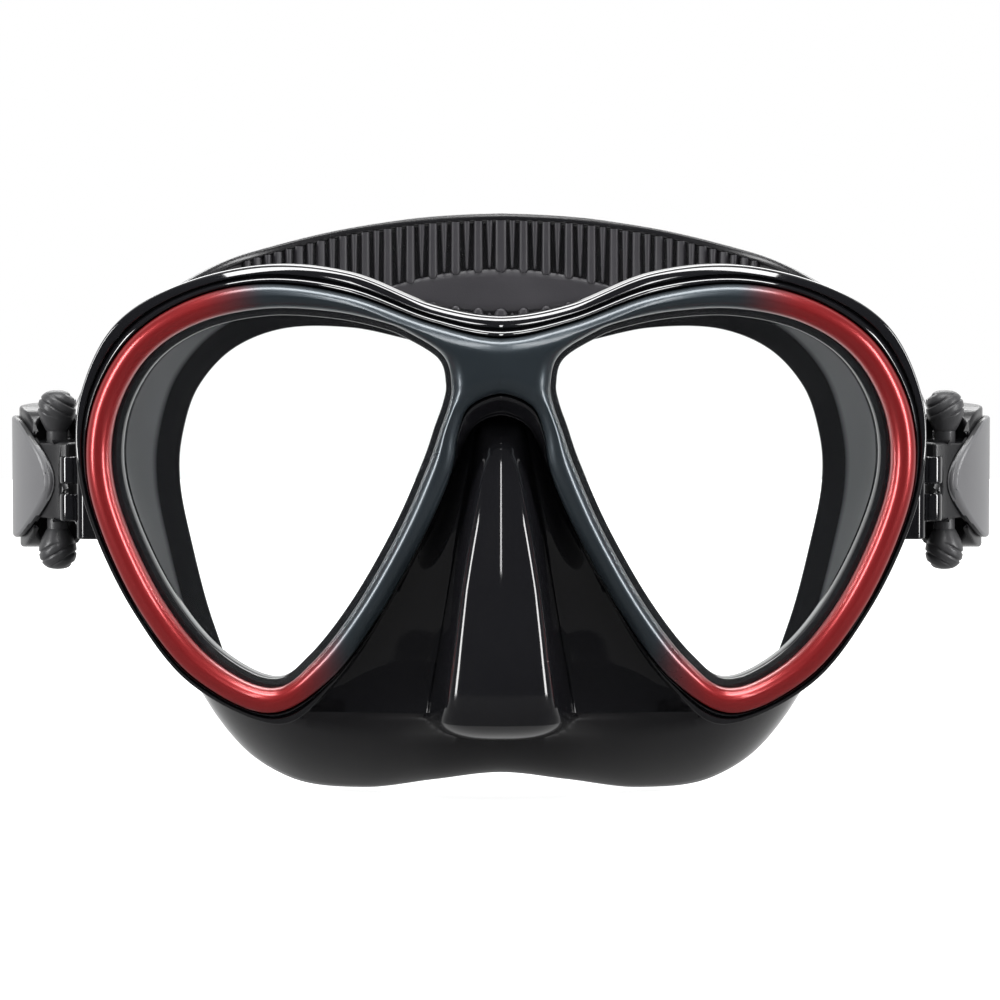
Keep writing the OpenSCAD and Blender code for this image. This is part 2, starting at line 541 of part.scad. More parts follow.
// The panel seen from the front: share of the pivots' half span, share of the rise, share of the
// panel's extra width; its last rows open wide over the strap's sides
panel_rows = [[0, 1, 1], [0.207, 1, 0.85], [0.329, 1.019, 0.46], [0.442, 1.027, 0.12],
    [0.548, 0.988, 0.03], [0.647, 0.936, 0], [0.736, 0.87, 0.08], [0.813, 0.803, 0.15],
    [0.9, 0.72, 1.5], [1, 0.6, 5], [1.3, 0.6, 5]];
panel_curve = path(panel_rows, steps, mirror_x(panel_rows[1]), panel_rows[len(panel_rows) - 1]);
function panel_line(way, less) = [for (p = panel_curve)
    [p[0] * pivot_x, p[1] * strap_rise + way * (lerp(strap_w, panel_h, p[2]) / 2 - less)]];
module strap_front(less = 0) let (top = panel_line(1, less), low = panel_line(-1, less))
    polygon(concat(reversed([for (p = top) mirror_x(p)]), top, reversed(low), [for (p = low) mirror_x(p)]));
module front_cut() translate([0, far, 0]) rotate([90, 0, 0]) linear_extrude(far) children();
module on_strap() translate([0, pivot_back, -pivot_drop]) children();
inner_face = reversed(beside(loop_line, strap_t / 2));
rib_count = 24;
rib_w = 1.5;
rim_w = 1.6;
// The smooth pad in the middle of the panel, under the ribs' tips
pad_w = 56;
pad_h = 10;
pad_drop = 3;
pad_arc_r = (pad_w * pad_w / pad_h + pad_h) / 4;
module pad_shape() translate([0, strap_rise - pad_drop]) intersection_for (side = [-1, 1])
    translate([0, side * (pad_arc_r - pad_h / 2)]) circle(pad_arc_r, $fn = 180);
module strap() color([0.1, 0.1, 0.11]) on_strap() {
    intersection() {
        upright(4 * far) band(-strap_t / 2, strap_t / 2);
        side_cut(-far, far) strap_side();
        front_cut() strap_front();
    }
    intersection() {
        upright(4 * far) for (i = [0:rib_count - 1]) let (x = (i - (rib_count - 1) / 2) * rib_pitch)
            translate([x - rib_w / 2, lookup(abs(x), inner_face) - rib_h]) square([rib_w, rib_h + 0.6]);
        side_cut(-far, far) strap_side(rim_w);
        front_cut() strap_front(rim_w);
    }
    intersection() {
        upright(4 * far) intersection() {
            band(strap_t / 2 - 0.3, strap_t / 2 + rib_h + 0.2);
            translate([-pad_w, 0]) square([2 * pad_w, far]);
        }
        front_cut() pad_shape();
    }
}

skirt();
main_frame();
front_bezel();
lens_left();
lens_right();
bracket_left();
bracket_right();
pivot_pin_left();
pivot_pin_right();
buckle_body_left();
buckle_body_right();
buckle_cover_left();
buckle_cover_right();
release_button_upper_left();
release_button_upper_right();
release_button_lower_left();
release_button_lower_right();
button_spring_upper_left();
button_spring_upper_right();
button_spring_lower_left();
button_spring_lower_right();
strap_roller_left();
strap_roller_right();
roller_pin_left();
roller_pin_right();
strap();
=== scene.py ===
import math

import bpy
import numpy as np
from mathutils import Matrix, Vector
from mathutils.kdtree import KDTree


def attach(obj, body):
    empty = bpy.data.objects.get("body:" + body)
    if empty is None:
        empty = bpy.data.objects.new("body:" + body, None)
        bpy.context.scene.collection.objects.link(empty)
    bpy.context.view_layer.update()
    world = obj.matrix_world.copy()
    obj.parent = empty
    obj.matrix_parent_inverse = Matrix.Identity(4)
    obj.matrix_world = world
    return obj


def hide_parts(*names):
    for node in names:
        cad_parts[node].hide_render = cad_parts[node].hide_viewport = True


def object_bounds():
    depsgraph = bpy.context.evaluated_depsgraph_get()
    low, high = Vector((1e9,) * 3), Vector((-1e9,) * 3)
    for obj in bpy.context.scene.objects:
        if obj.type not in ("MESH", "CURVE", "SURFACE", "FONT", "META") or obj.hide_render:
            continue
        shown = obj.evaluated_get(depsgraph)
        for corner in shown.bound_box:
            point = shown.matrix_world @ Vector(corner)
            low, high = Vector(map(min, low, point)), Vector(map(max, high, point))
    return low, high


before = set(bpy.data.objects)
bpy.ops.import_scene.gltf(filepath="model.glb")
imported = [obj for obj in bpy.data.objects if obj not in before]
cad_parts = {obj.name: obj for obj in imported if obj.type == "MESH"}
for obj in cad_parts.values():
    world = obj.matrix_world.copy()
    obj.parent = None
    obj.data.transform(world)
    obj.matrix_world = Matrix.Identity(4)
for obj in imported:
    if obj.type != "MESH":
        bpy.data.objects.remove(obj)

cad_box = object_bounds()

# ---- Camera, floor and soft boxes ----
# The mask stands upright on a pale floor in front of a white backdrop. Two tall soft boxes stand
# beside the camera, one hangs over the mask and one behind it, and a narrow strip over the camera.
lens_plane = -0.038
camera_distance = 0.95
camera_tilt = math.radians(4)
aim_x, aim_z = -0.0002, -0.0048
seen_width, sensor_width = 0.193, 36
bpy.ops.object.select_all(action="DESELECT")
bpy.ops.object.camera_add()
camera = bpy.context.object
camera.name = "camera"
camera.location = (aim_x, lens_plane - camera_distance * math.cos(camera_tilt),
                   aim_z + camera_distance * math.sin(camera_tilt))
camera.rotation_euler = (math.radians(90) - camera_tilt, 0, 0)
camera.data.sensor_width = sensor_width
camera.data.lens = sensor_width * camera_distance / seen_width
camera.data.clip_end = 20
bpy.context.scene.camera = camera
bpy.context.scene.view_settings.view_transform = "Standard"


def soft_box(name, place, aim, width, height, power):
    """An area lamp at a place that faces a point."""
    bpy.ops.object.light_add(type="AREA", location=place)
    lamp = bpy.context.object
    lamp.name = name
    lamp.data.shape = "RECTANGLE"
    lamp.data.size = width
    lamp.data.size_y = height
    lamp.data.energy = power
    lamp.rotation_euler = (Vector(aim) - Vector(place)).to_track_quat("-Z", "Y").to_euler()


soft_box("box_left", (-1.15, -0.55, 0.3), (0, 0, 0), 0.25, 0.9, 14)
soft_box("box_right", (1.15, -0.55, 0.3), (0, 0, 0), 0.25, 0.9, 14)
soft_box("box_top", (0, -0.2, 1.2), (0, 0, 0), 1.0, 0.28, 15)
soft_box("strip_front", (0, -0.95, 0.95), (0, 0, 0), 0.12, 0.75, 4.5)
soft_box("box_back", (0, 1.2, 0.75), (0, 0, 0), 1.2, 0.4, 8)


def feed(tree, node, feeds):
    """Feeds a node's inputs with outputs of other nodes or with plain values."""
    for key, value in feeds.items():
        if isinstance(value, bpy.types.NodeSocket):
            tree.links.new(value, node.inputs[key])
        else:
            node.inputs[key].default_value = value


def added(tree, kind, feeds, **settings):
    """A new node with its settings and its inputs fed."""
    node = tree.nodes.new(kind)
    for name, value in settings.items():
        setattr(node, name, value)
    feed(tree, node, feeds)
    return node


def math_of(tree, operation, *values):
    """The outcome of one step of arithmetic."""
    return added(tree, "ShaderNodeMath", dict(enumerate(values)), operation=operation).outputs[0]


def mixed(tree, factor, first, second):
    """A colour between two colours."""
    mix = added(tree, "ShaderNodeMix", {"Factor": factor, "A": first, "B": second},
                data_type="RGBA")
    return mix.outputs["Result"]


def smooth_step(tree, value, start, end):
    """A soft change from 0 to 1 between two values."""
    step = added(tree, "ShaderNodeMapRange", {"Value": value, "From Min": start, "From Max": end},
                 interpolation_type="SMOOTHSTEP")
    return step.outputs["Result"]


def white_share(tree, place, start, end):
    """The kinds of ray, and 1 for a ray that meets white: one from the camera, one that went
    through glass unmirrored, or a mirrored one that meets a place behind a soft limit along Y."""
    rays = added(tree, "ShaderNodeLightPath", {}).outputs
    unmirrored = math_of(tree, "LESS_THAN", rays["Glossy Depth"], 0.5)
    through = math_of(tree, "MULTIPLY", rays["Is Transmission Ray"], unmirrored)
    seen = math_of(tree, "MAXIMUM", rays["Is Camera Ray"], through)
    parts = added(tree, "ShaderNodeSeparateXYZ", {0: place}).outputs
    behind = smooth_step(tree, parts["Y"], start, end)
    mirrored = math_of(tree, "MULTIPLY", rays["Is Glossy Ray"], behind)
    return rays, math_of(tree, "MAXIMUM", seen, mirrored)


floor_size, floor_middle, floor_gap, floor_glow = 1.3, 0.31, 0.0004, 0.84
bpy.ops.mesh.primitive_grid_add(x_subdivisions=4, y_subdivisions=4, size=floor_size,
                                location=(0, floor_middle, cad_box[0].z - floor_gap))
floor = bpy.context.object
floor.name = "floor"
floor_finish = bpy.data.materials.new("floor_white")
floor_finish.use_nodes = True
tree = floor_finish.node_tree
spot = added(tree, "ShaderNodeTexCoord", {}).outputs["Object"]
rays, white = white_share(tree, spot, -0.37, -0.2)
# In reflections the floor is darker, which keeps the glossy black deep
tone = mixed(tree, rays["Glossy Depth"], (0.6, 0.6, 0.6, 1), (0.1, 0.1, 0.1, 1))
matt = tree.nodes["Principled BSDF"]
feed(tree, matt, {"Base Color": tone, "Roughness": 0.9, "Specular IOR Level": 0.1})
glow = added(tree, "ShaderNodeEmission", {"Strength": math_of(tree, "MULTIPLY", white, floor_glow)})
both = added(tree, "ShaderNodeAddShader", {0: matt.outputs[0], 1: glow.outputs[0]})
feed(tree, tree.nodes["Material Output"], {"Surface": both.outputs[0]})
floor.data.materials.append(floor_finish)

# The backdrop: white to the camera and through glass, white behind the mask in reflections, and a
# dim room in front of it
studio = bpy.data.worlds.new("studio")
bpy.context.scene.world = studio
studio.use_nodes = True
tree = studio.node_tree
way = added(tree, "ShaderNodeTexCoord", {}).outputs["Generated"]
rays, white = white_share(tree, way, -0.1, 0.5)
room = tree.nodes["Background"]
feed(tree, room, {"Color": (1, 1, 1, 1), "Strength": 0.3})
dim = added(tree, "ShaderNodeBackground", {"Color": (0.9, 0.93, 1, 1), "Strength": 0.1})
lit = added(tree, "ShaderNodeMixShader", {
    "Fac": rays["Is Glossy Ray"], 1: room.outputs[0], 2: dim.outputs[0]})
# The two faces of a lens take off 8 percent, which the backdrop behind them makes up
made_up = math_of(tree, "MULTIPLY_ADD", rays["Is Transmission Ray"], 0.1, 1)
backdrop = added(tree, "ShaderNodeBackground", {"Color": (1, 1, 1, 1), "Strength": made_up})
sky = added(tree, "ShaderNodeMixShader", {"Fac": white, 1: lit.outputs[0], 2: backdrop.outputs[0]})
feed(tree, tree.nodes["World Output"], {"Surface": sky.outputs[0]})

# ---- Skirt ----
# One moulding of glossy black silicone: a bead grips each lens, a wall runs back to the turned-in
# face seal, and a nose pocket is moulded between the eyes. The frame and bezel clamp it.
crest_y = -38
sweep = math.radians(5)
# Depths behind the bezel's crest: the pane's faces, the frame's ledge and back, the skirt's plate
lens_front, lens_back = 4, 8
ledge_front, frame_back = 10, 12
plate_front, plate_back = 12.15, 14.15
wall = 2
# Rows from the brow over the temple and the cheek lobe up to the nose arch, all in millimetres:
# frame edge u, z and edge of the clear view u, z
outline_rows = np.array([
    [0, 30.7, 19, 26.3], [14, 33, 24, 28.3], [30, 39.2, 33.5, 30.2], [47, 40.7, 46, 30.7],
    [64, 36.6, 58.5, 28], [76, 28.8, 68, 21.8], [82.4, 16, 73.7, 12], [83.5, 3, 75, 1],
    [80.6, -10.5, 72, -10.8], [72.5, -27.5, 65, -25], [61, -42, 56, -35.8], [44, -49.7, 45.5, -41],
    [33.5, -42, 38.2, -36.2], [24, -28.5, 29.8, -25.3], [15.6, -12.5, 21.6, -10.8], [9.6, 1, 16, 2],
    [8.3, 5, 13.6, 9], [5.2, 9.6, 12, 13.6], [0, 11.4, 11.4, 17.4], [0, 21, 12.8, 22.3]])
lobe_row, arch_row = 11, 18
rows_height, frame_height = 90.4, 89.5
fit = np.array([1, frame_height / rows_height])
frame_rows = outline_rows[:, :2] * fit
view_rows = outline_rows[:, 2:] * fit
# Steps between two rows
fine = 13


def curve(points, n, before, after):
    """A smooth curve through the points, with n steps between two of them."""
    p = [np.asarray(q, float) for q in (before, *points, after)]
    line = []
    for a, b, c, d in zip(p, p[1:], p[2:], p[3:]):
        for t in np.arange(n) / n:
            line.append(0.5 * (2 * b + (c - a) * t + (2 * a - 5 * b + 4 * c - d) * t ** 2
                               + (3 * b - a - 3 * c + d) * t ** 3))
    return np.array(line + [p[-2]])


def flipped(point):
    """The same point on the other half of the mask."""
    return np.array([-point[0], *point[1:]])


def crossing(points, n):
    """A curve that starts and ends square to the middle plane."""
    return curve(points, n, flipped(points[1]), flipped(points[-2]))


def ring(points, n):
    """A closed curve."""
    return curve([*points, points[0]], n, points[-1], points[1])[:-1]


def half_outline(points, n):
    """A curve to the nose arch and straight up the middle."""
    up = [points[arch_row] + (points[arch_row + 1] - points[arch_row]) * k / n for k in range(1, n)]
    top = [points[arch_row + 1] + (points[0] - points[arch_row + 1]) * k / n for k in range(n)]
    return np.array([*crossing(points[:arch_row + 1], n), *up, *top])


def outward(line):
    """Outward directions of a closed clockwise line."""
    along = np.roll(line, -1, 0) - np.roll(line, 1, 0)
    along /= np.linalg.norm(along, axis=1)[:, None]
    return np.column_stack([-along[:, 1], along[:, 0]])


def grown(line, d):
    """A closed line moved outwards."""
    return line + d * outward(line)


def swept(p, w):
    """Place of a flat point behind the bezel's crest, on the swept plane of the right lens."""
    if p[0] == 0:
        return np.array([0, crest_y + w / math.cos(sweep), p[1]])
    return np.array([p[0] * math.cos(sweep) - w * math.sin(sweep),
                     crest_y + p[0] * math.sin(sweep) + w * math.cos(sweep), p[1]])


def ease(v):
    """A smooth step from 0 to 1."""
    v = np.clip(v, 0, 1)
    return v * v * (3 - 2 * v)


def alone(piece):
    """Selects one piece and nothing else."""
    bpy.ops.object.select_all(action="DESELECT")
    piece.select_set(True)
    bpy.context.view_layer.objects.active = piece


def closed_body(name, sheets, halves=(1, -1)):
    """One closed mesh of sheets of points in millimetres, and of their mirror images."""
    points, faces = [], []
    for sheet in sheets:
        grid = np.array(sheet)
        rows, cols = grid.shape[:2]
        for half in halves:
            first = len(points)
            points += (grid * (half, 1, 1) / 1000).reshape(-1, 3).tolist()
            for i in range(rows - 1):
                for k in range(cols - 1):
                    a = first + i * cols + k
                    face = (a, a + 1, a + cols + 1, a + cols)
                    faces.append(face[::half])
    mesh = bpy.data.meshes.new(name)
    mesh.from_pydata(points, [], faces)
    piece = bpy.data.objects.new(name, mesh)
    bpy.context.scene.collection.objects.link(piece)
    alone(piece)
    bpy.ops.object.mode_set(mode="EDIT")
    bpy.ops.mesh.select_all(action="SELECT")
    bpy.ops.mesh.remove_doubles(threshold=3e-6)
    bpy.ops.mesh.dissolve_degenerate(threshold=1e-6)
    bpy.ops.mesh.select_all(action="SELECT")
    bpy.ops.mesh.normals_make_consistent(inside=False)
    bpy.ops.object.mode_set(mode="OBJECT")
    return piece


def smoothed(piece, angle):
    """Shades a piece smooth, apart from edges sharper than an angle."""
    alone(piece)
    bpy.ops.object.shade_smooth_by_angle(angle=math.radians(angle))


def rounded(piece, width, angle=35, segments=2):
    """Rounds the edges of a piece and shades it smooth."""
    alone(piece)
    edge = piece.modifiers.new("edge", "BEVEL")
    edge.width = width
    edge.segments = segments
    edge.limit_method = "ANGLE"
    edge.angle_limit = math.radians(angle)
    edge.use_clamp_overlap = False
    edge.miter_outer = "MITER_ARC"
    bpy.ops.object.modifier_apply(modifier="edge")
    smoothed(piece, 40)


def moulded(name, colour, deeper, rough, grain, height, metallic=0.0, coat=0.0, coat_rough=0.1):
    """A moulded surface: two close colours and roughnesses in soft clouds, under a fine grain."""
    finish = bpy.data.materials.new(name)
    finish.use_nodes = True
    tree = finish.node_tree
    place = added(tree, "ShaderNodeTexCoord", {}).outputs["Object"]
    clouds = added(tree, "ShaderNodeTexNoise", {"Vector": place, "Scale": 70, "Detail": 5})
    cloud = clouds.outputs["Fac"]
    shine = added(tree, "ShaderNodeMapRange", {"Value": cloud, "From Min": 0.3, "From Max": 0.7,
                                               "To Min": rough[0], "To Max": rough[1]})
    skin = added(tree, "ShaderNodeTexNoise", {"Vector": place, "Scale": grain, "Detail": 3})
    bump = added(tree, "ShaderNodeBump", {
        "Height": skin.outputs["Fac"], "Distance": height, "Strength": 0.6})
    feed(tree, tree.nodes["Principled BSDF"], {
        "Base Color": mixed(tree, cloud, (*deeper, 1), (*colour, 1)),
        "Roughness": shine.outputs["Result"], "Normal": bump.outputs["Normal"],
        "Metallic": metallic, "Coat Weight": coat, "Coat Roughness": coat_rough})
    return finish


# How far inside the frame's edge the wall starts, in the rows from the brow to the cheek lobe
land = 5 * np.array([1, 1, 1, 1, 1, 1, 1, 1, 1, 0.8, 0.6, 0.3])
# The wall's front edge below the nose: x, way back, z
chin_edge = np.array([[24, 5, -53.2], [12, 10, -54.2], [0, 12, -54.5]])
# The edge of the face seal, from the brow to below the nose: x, y, z
seal_edge = np.array([
    [0, -2, 28.5], [14, -1, 31], [29, 3, 34], [45, 9, 33.5], [58, 14, 28], [67, 17, 18],
    [71, 18, 6], [71.5, 17, -5], [69, 15, -18], [64, 12, -36], [55.5, 9, -55.5], [43, 7, -65],
    [28, 3, -66.6], [13.5, 0, -64.6], [0, -1, -63]]) * (1, 1, fit[1])
# The nose pocket: height and share of its reach there, then height and half width
nose_rows = np.array([
    [-54.5, 0], [-54.2, 0.27], [-53.5, 0.5], [-52.3, 0.7], [-50.6, 0.87], [-48.6, 0.96], [-45, 1],
    [-37, 0.99], [-30, 0.94], [-22, 0.86], [-15, 0.76], [-8, 0.65], [-2, 0.53], [3, 0.4],
    [7, 0.26], [10, 0.12], [12, 0]])
nose_profile = curve(nose_rows, 6, nose_rows[0], nose_rows[-1])
nose_taper = np.array([[-55, 15.2], [-47, 14.2], [-12, 8.4], [5, 5.4], [14, 3.6]])
nose_reach = 22
arm_overlap = 0.8
bead_w, neck_w, lens_gap, ledge_gap = 3, 1.5, 0.05, 0.1

view_ring = ring(view_rows, fine)
bead_ring = grown(view_ring, bead_w)
neck_ring = grown(view_ring, neck_w)
stations = len(view_ring)
lobe, arch = lobe_row * fine, arch_row * fine
edges = [flipped(frame_rows[1]), *frame_rows[:arch_row + 1], flipped(frame_rows[arch_row - 1])]
edge_out = []
for before, after in zip(edges, edges[2:]):
    along = (after - before) / np.linalg.norm(after - before)
    edge_out.append(np.array([-along[1], along[0]]))
wall_rows = [swept(frame_rows[i] - land[i] * edge_out[i], plate_front) for i in range(lobe_row + 1)]
wall_rows += [swept(np.array([x, z * fit[1]]), plate_front) + (0, back, 0)
              for x, back, z in chin_edge]
wall_front = crossing(wall_rows, fine)
arm_rows = [wall_rows[lobe_row]]
arm_rows += [swept(frame_rows[i] - arm_overlap * edge_out[i], plate_front)
             for i in range(lobe_row + 1, arch_row + 1)]
arm_rows[-1][0] = 0
arm_front = curve(arm_rows, fine, wall_rows[lobe_row - 1], flipped(arm_rows[-2]))
seal_line = crossing(seal_edge, fine)


def across(line):
    """Outward directions along a line, seen from the front."""
    before = np.array([flipped(line[1]), *line[:-1]])
    after = np.array([*line[1:], flipped(line[-2])])
    along = (after - before)[:, (0, 2)]
    along /= np.linalg.norm(along, axis=1)[:, None]
    return np.column_stack([-along[:, 1], np.zeros(len(line)), along[:, 0]])


wall_inner = wall_front - wall * across(wall_front) + (0, wall, 0)
arm_inner = arm_front - wall * across(arm_front) + (0, wall, 0)
arm_inner[0] = wall_inner[lobe]
lens_sheet = []
for i in range(stations + 1):
    i %= stations
    m = (i - arch) / (stations - arch)
    if i <= lobe:
        outer, inner = wall_front[i], wall_inner[i]
    elif i <= arch:
        outer, inner = arm_front[i - lobe], arm_inner[i - lobe]
    else:
        outer = arm_front[-1] + (wall_front[0] - arm_front[-1]) * m
        inner = arm_inner[-1] + (wall_inner[0] - arm_inner[-1]) * m
    lens_sheet.append([
        inner, swept(view_ring[i], plate_back), swept(view_ring[i], lens_back + lens_gap),
        swept(bead_ring[i], lens_back + lens_gap),
        swept(bead_ring[i], ledge_front - ledge_gap),
        swept(neck_ring[i], ledge_front - ledge_gap),
        swept(neck_ring[i], plate_front), outer])
wall_out, seal_out = across(wall_front), across(seal_line)
wall_shares = np.array([0, 0.1, 0.22, 0.35, 0.5, 0.65, 0.78, 0.9, 1])
wall_bulge = 1.5
lip_shares = np.array([0.15, 0.3, 0.42, 0.5, 0.58, 0.7, 0.85])
lip_w, lip_rise, lip_t, bead_height = 6.5, 3, 1.2, 0.5
wall_sheet = []
for i in range(len(wall_front)):
    seal, flat = seal_line[i], seal_out[i]
    seal_inner = seal - wall * flat - (0, wall, 0)
    tip = seal - lip_w * flat - (0, lip_rise, 0)
    outside, inside = [], []
    for t in wall_shares:
        bulge = 4 * t * (1 - t) * wall_bulge * wall_out[i]
        outside.append(wall_front[i] + (seal - wall_front[i]) * t + bulge)
        inside.append(wall_inner[i] + (seal_inner - wall_inner[i]) * t + bulge)
    # A fine bead halfway over the lip seals against the skin
    lip = [seal + (tip - seal) * t + (0, bead_height * max(0, 1 - abs(t - 0.5) / 0.1), 0)
           for t in lip_shares]
    wall_sheet.append([*outside, *lip, tip, tip - (0, lip_t, 0), *inside[::-1]])

nose_cols = len(wall_front) - 1 - lobe


def nose_point(outer, edge, k, thick):
    """A point of the nose pocket before it is drawn forward, and its share of the reach."""
    if k == 0 or edge[0] == 0:
        return np.array([*edge, 0])
    level = outer[2] / fit[1]
    wing = nose_cols / 3
    half = max(min(np.interp(level, *nose_taper.T), 0.8 * outer[0]) - 0.8 * thick, 0.4)
    t = k / wing
    turn = math.pi / 2 * (nose_cols - k) / (nose_cols - wing)
    x = edge[0] + (half - edge[0]) * t if t < 1 else half * math.sin(turn)
    share = min(x / half, 1)
    # The front is flat below and rounds off towards the arch, and a slight flank leads up to it
    flatness = np.interp(level, [-22, 4], [8, 2.6])
    front = 0.9 * (1 - share ** flatness) ** 0.75 - 0.05 * share ** 2
    bell = front + 0.1 * (1 - ease((x - half) / (edge[0] - half)))
    # A shallow hollow lies beside the pocket
    dip = 3 * ease(-(level + 8) / 25) * ease((level + 51) / 12) * math.sin(math.pi * min(t / 2, 1))
    y = edge[1] - (edge[0] - x) * math.tan(sweep) + dip * (1 - bell)
    return np.array([x, y, edge[2], bell])


def nose_sheet(inside):
    """The nose pocket's front or back, in rows from below the nose to the arch."""
    chin, arm, thick = (wall_inner, arm_inner, wall) if inside else (wall_front, arm_front, 0)
    first = chin[lobe:]
    rest = [np.array([nose_point(arm_front[j], arm[j], k, thick) for k in range(nose_cols + 1)])
            for j in range(1, len(arm_front))]
    rows = [list(first)]
    # Extra rows round off the pocket's foot between the skirt's edge and the first row above it
    foot = np.column_stack([first, rest[0][:, 3]])
    shares = [1 - (1 - t) ** 2 for t in np.linspace(0, 1, 13)[1:-1]]
    for grid in [foot + (rest[0] - foot) * t for t in shares] + rest:
        # The pocket's foot rises towards its sides
        level = grid[:, 2] / fit[1]
        aside = np.minimum(grid[:, 0] / np.interp(level, *nose_taper.T), 1) ** 3
        drawn = nose_reach * np.interp(level - 5 * aside, *nose_profile.T) * grid[:, 3]
        rows.append([np.array([x, y - d, z]) for x, y, z, d in zip(*grid[:, :3].T, drawn)])
    return rows


skirt = closed_body("face_skirt", [lens_sheet, wall_sheet, nose_sheet(False), nose_sheet(True)])
rounded(skirt, 0.0004, 50)
# The inside of the wall is polished, with a clear coat and sheen, and its base colour there is a
# pale grey that is a painted reflection of the white backdrop; the attribute marks it from the
# glass to the lip
mark_reach = 0.0006
inside_points = [row[k] for row in wall_sheet for k in range(-len(wall_shares) + 1, 0)]
near = KDTree(2 * len(inside_points))
for k, q in enumerate(inside_points):
    for side in (1, -1):
        near.insert(Vector(q * (side, 1, 1) / 1000), 2 * k + (side < 0))
near.balance()
gloss_and_painted_reflection = skirt.data.attributes.new("gloss_and_painted_reflection", "FLOAT", "POINT")
for k, vertex in enumerate(skirt.data.vertices):
    gloss_and_painted_reflection.data[k].value = float(near.find(vertex.co)[2] < mark_reach)
skirt_silicone = moulded("skirt_silicone", (0.007, 0.007, 0.008), (0.004, 0.004, 0.005),
                         (0.06, 0.1), 260, 0.000004)
tree = skirt_silicone.node_tree
mark = added(tree, "ShaderNodeAttribute", {}, attribute_name="gloss_and_painted_reflection").outputs["Fac"]
gloss = math_of(tree, "MULTIPLY", mark, 0.9)
# Painted reflection: the wall's inside takes a pale grey base colour instead of the silicone's
# near-black, standing in for the backdrop's silver sheen
painted_reflection_colour = mixed(tree, mark, tree.nodes["Mix"].outputs["Result"], (0.3, 0.3, 0.315, 1))
feed(tree, tree.nodes["Principled BSDF"], {
    "Base Color": painted_reflection_colour, "Coat Weight": gloss, "Coat Roughness": 0.04, "Coat IOR": 2.0,
    "Sheen Weight": gloss, "Sheen Roughness": 0.25})
skirt.data.materials.append(skirt_silicone)
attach(skirt, "mask")
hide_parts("skirt")

# ---- Lenses ----
# Two flat panes of clear tempered glass, ground round their edges. Each lies in the skirt's bead.
lens_glass = bpy.data.materials.new("lens_glass")
lens_glass.use_nodes = True
tree = lens_glass.node_tree
place = added(tree, "ShaderNodeTexCoord", {}).outputs["Object"]
smear = added(tree, "ShaderNodeTexNoise", {"Vector": place, "Scale": 40}).outputs["Fac"]
polish = added(tree, "ShaderNodeMapRange", {"Value": smear, "To Min": 0, "To Max": 0.012})
pane = tree.nodes["Principled BSDF"]
feed(tree, pane, {"Base Color": (0.985, 1, 0.995, 1), "Transmission Weight": 1, "IOR": 1.5,
                  "Roughness": polish.outputs["Result"]})
# Lamps shine straight through, with the glass's slight tint
rays = added(tree, "ShaderNodeLightPath", {}).outputs
clear = added(tree, "ShaderNodeBsdfTransparent", {"Color": (0.92, 0.95, 0.94, 1)})
shade = added(tree, "ShaderNodeMixShader", {
    "Fac": rays["Is Shadow Ray"], 1: pane.outputs[0], 2: clear.outputs[0]})
feed(tree, tree.nodes["Material Output"], {"Surface": shade.outputs[0]})


def finished(node, finish):
    """Gives the mesh of a node that is shown as it is a finish."""
    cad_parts[node].data.materials.clear()
    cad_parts[node].data.materials.append(finish)


for node in ("lens_left", "lens_right"):
    finished(node, lens_glass)

# ---- Frame ----
# One glossy black polycarbonate moulding round both eyes. A rebate takes the bezel, a seat takes
# the glass, and two stepped tiers with a groove between them run round its front.
bridge_rows = np.array([[8.5, 8.4], [6.2, 13.4], [0, 15.8], [0, 21.4], [0, 26.5], [13.7, 29.3],
                        [30, 35]])
bridge_row, bezel_w = 16, 6.3
bezel_rows = grown(view_rows, bezel_w)
for k, row in enumerate(bridge_rows * fit):
    bezel_rows[(bridge_row + k) % len(bezel_rows)] = row
bezel_line = half_outline(bezel_rows, fine)
frame_line = half_outline(frame_rows, fine)
frame_out = outward(frame_line)
seat_ring, mouth_ring = grown(view_ring, 3.6), grown(view_ring, 1.8)
# Share of the way from the bezel to the front edge, depth behind the bezel's crest, and depth over
# the nose: an inner tier, a groove and an outer tier that slope outwards; over the nose one slope
# that ends in a bead
tier_profile = np.array([
    [0.02, 3.1, 3.3], [0.05, 2.65, 3.05], [0.09, 2.6, 3], [0.2, 2.9, 3.2], [0.31, 3.25, 3.6],
    [0.34, 3.6, 3.75], [0.37, 4.2, 3.9], [0.43, 4.2, 4.15], [0.46, 3.2, 4.3], [0.5, 3.0, 4.5],
    [0.6, 3.24, 4.95], [0.74, 3.62, 5.55], [0.84, 3.92, 5.85], [0.9, 4.13, 5.5], [0.94, 4.32, 5.3],
    [0.98, 4.7, 5.5], [1, 5.3, 6.2]])
groove_end, step_w, tier_top = 0.44, 0.25, 3
